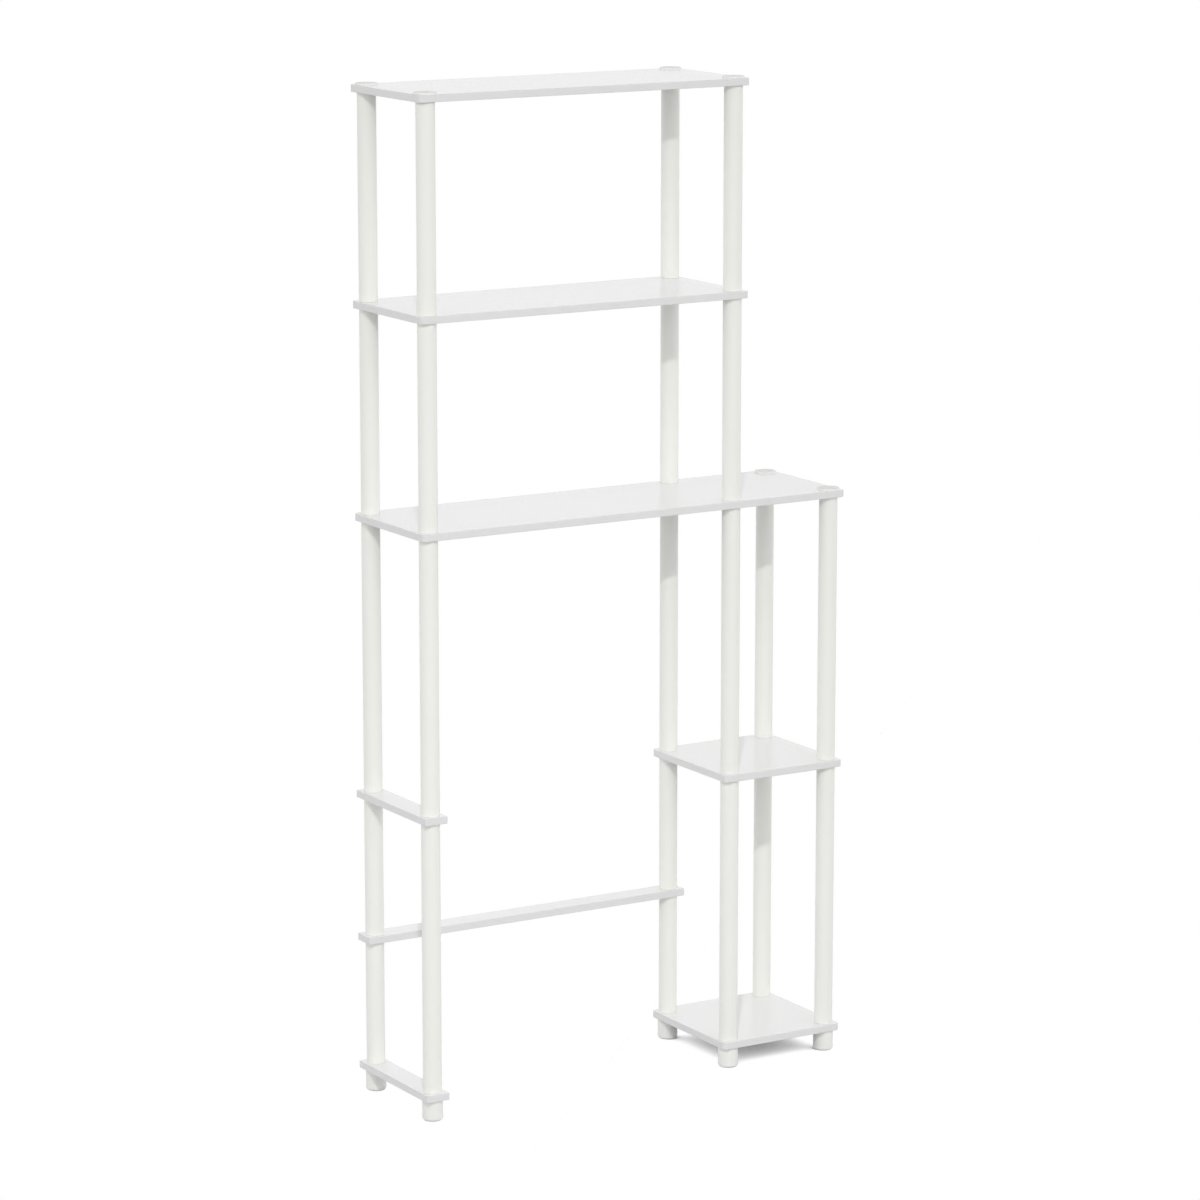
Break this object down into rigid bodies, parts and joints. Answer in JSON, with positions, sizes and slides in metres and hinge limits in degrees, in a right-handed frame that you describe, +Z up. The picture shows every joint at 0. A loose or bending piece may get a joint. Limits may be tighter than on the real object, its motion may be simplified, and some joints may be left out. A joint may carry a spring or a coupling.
{
  "type": "over-toilet shelf",
  "caption": "Free-standing over-toilet shelf: long boards above an open bay and a narrow shelf tower on the right, clamped between stacked round tubes on plain feet.",
  "frame": {"origin": "on the floor, under the middle of the whole shelf's outline", "axes": "+X to the right towards the tower, +Y to the rear towards the wall, +Z up"},
  "size_m": [0.809, 0.235, 1.678],
  "materials": {
    "board": "white laminated board, smooth and faintly glossy",
    "tube": "warm white extruded plastic, satin",
    "moulding": "warm white moulded plastic, satin"
  },
  "bodies": {
    "root": {"back_rail": "board", "back_rail_couplers": "moulding", "end_caps": "moulding", "feet": "moulding", "left_base_strip": "board", "left_front_base_tube": "tube", "left_front_middle_tube": "tube", "left_front_top_tube": "tube", "left_front_upper_tube": "tube", "left_middle_strip": "board", "left_rear_above_rail_tube": "tube", "left_rear_below_rail_tube": "tube", "left_rear_middle_tube": "tube", "left_rear_top_tube": "tube", "left_rear_upper_tube": "tube", "left_strip_couplers": "moulding", "middle_shelf": "board", "middle_shelf_couplers": "moulding", "right_front_base_tube": "tube", "right_front_middle_tube": "tube", "right_front_top_tube": "tube", "right_front_upper_tube": "tube", "right_rear_above_rail_tube": "tube", "right_rear_below_rail_tube": "tube", "right_rear_middle_tube": "tube", "right_rear_top_tube": "tube", "right_rear_upper_tube": "tube", "top_shelf": "board", "tower_base_shelf": "board", "tower_couplers": "moulding", "tower_front_base_tube": "tube", "tower_front_middle_tube": "tube", "tower_middle_shelf": "board", "tower_rear_base_tube": "tube", "tower_rear_middle_tube": "tube", "wide_shelf": "board", "wide_shelf_couplers": "moulding"}
  },
  "joints": []
}
